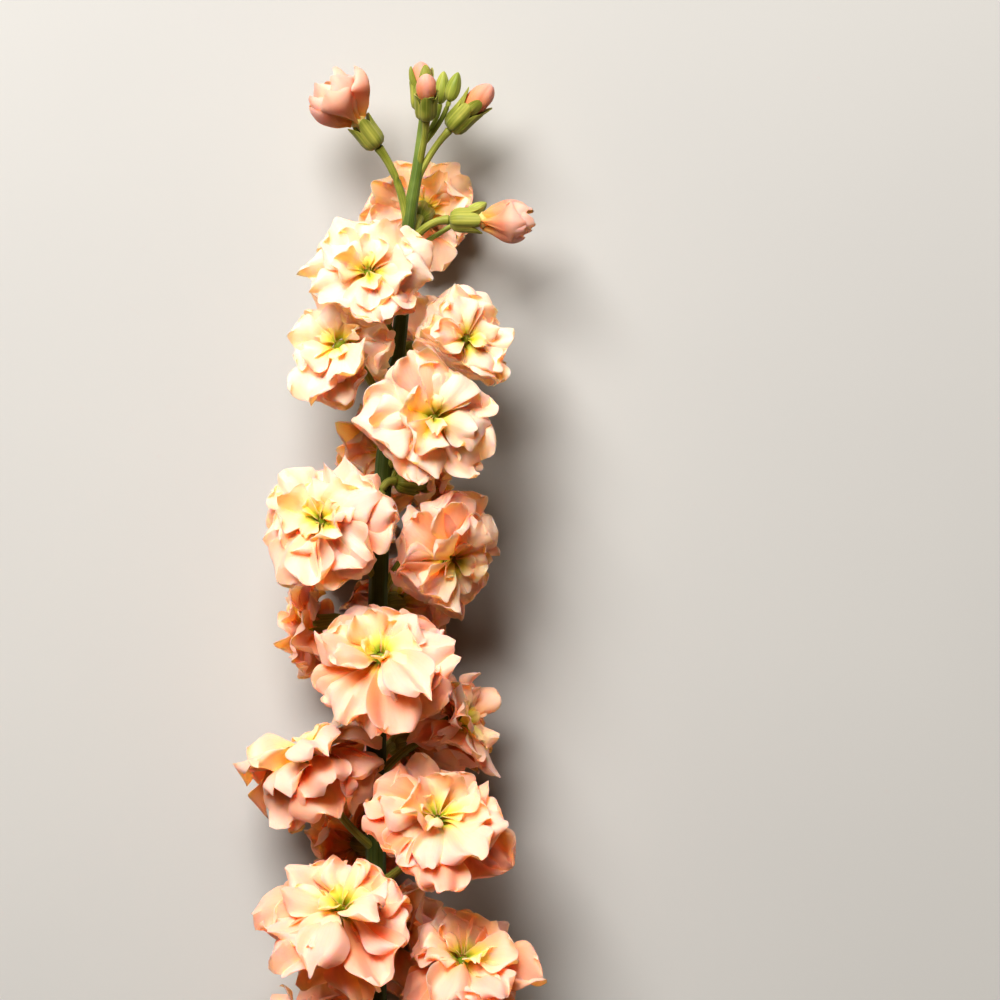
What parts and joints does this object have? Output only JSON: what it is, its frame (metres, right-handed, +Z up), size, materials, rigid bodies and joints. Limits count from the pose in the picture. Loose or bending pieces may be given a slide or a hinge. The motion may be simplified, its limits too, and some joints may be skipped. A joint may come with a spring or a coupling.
{
  "type": "column stock stem",
  "caption": "Cut stem of double column stock lying down: a long spike of ruffled peach blooms, buds at the tip and lance-shaped leaves on the lower stem.",
  "frame": {"origin": "middle of the bounding box seen from above, at the height of the table that the stem lies on", "axes": "+Y along the stem towards its tip, +Z up from the table, +X to the right when the stem is seen from above with its tip pointing away"},
  "size_m": [0.1296, 0.451, 0.0624],
  "materials": {
    "petal": "soft matt petal",
    "bud": "soft matt petal",
    "stem": "smooth green stem with a faint bloom",
    "leaf": "downy grey-green leaf"
  },
  "bodies": {
    "root": {"stem": "stem", "bloom_01": "petal", "bloom_02": "petal", "bloom_03": "petal", "bloom_04": "petal", "bloom_05": "petal", "bloom_06": "petal", "bloom_07": "petal", "bloom_08": "petal", "bloom_09": "petal", "bloom_10": "petal", "bloom_11": "petal", "bloom_12": "petal", "bloom_13": "petal", "bloom_14": "petal", "bloom_15": "petal", "bloom_16": "petal", "bloom_17": "petal", "bloom_18": "petal", "bloom_19": "petal", "bloom_20": "petal", "bloom_21": "petal", "bloom_22": "petal", "bloom_23": "petal", "bloom_24": "petal", "bloom_25": "petal", "bloom_26": "petal", "bud_left": "bud", "bud_right": "bud", "bud_tip_1": "bud", "bud_tip_2": "bud", "bud_tip_3": "bud", "leaf_1": "leaf", "leaf_2": "leaf", "leaf_3": "leaf", "leaf_4": "leaf", "leaf_5": "leaf", "leaf_6": "leaf"}
  },
  "joints": []
}
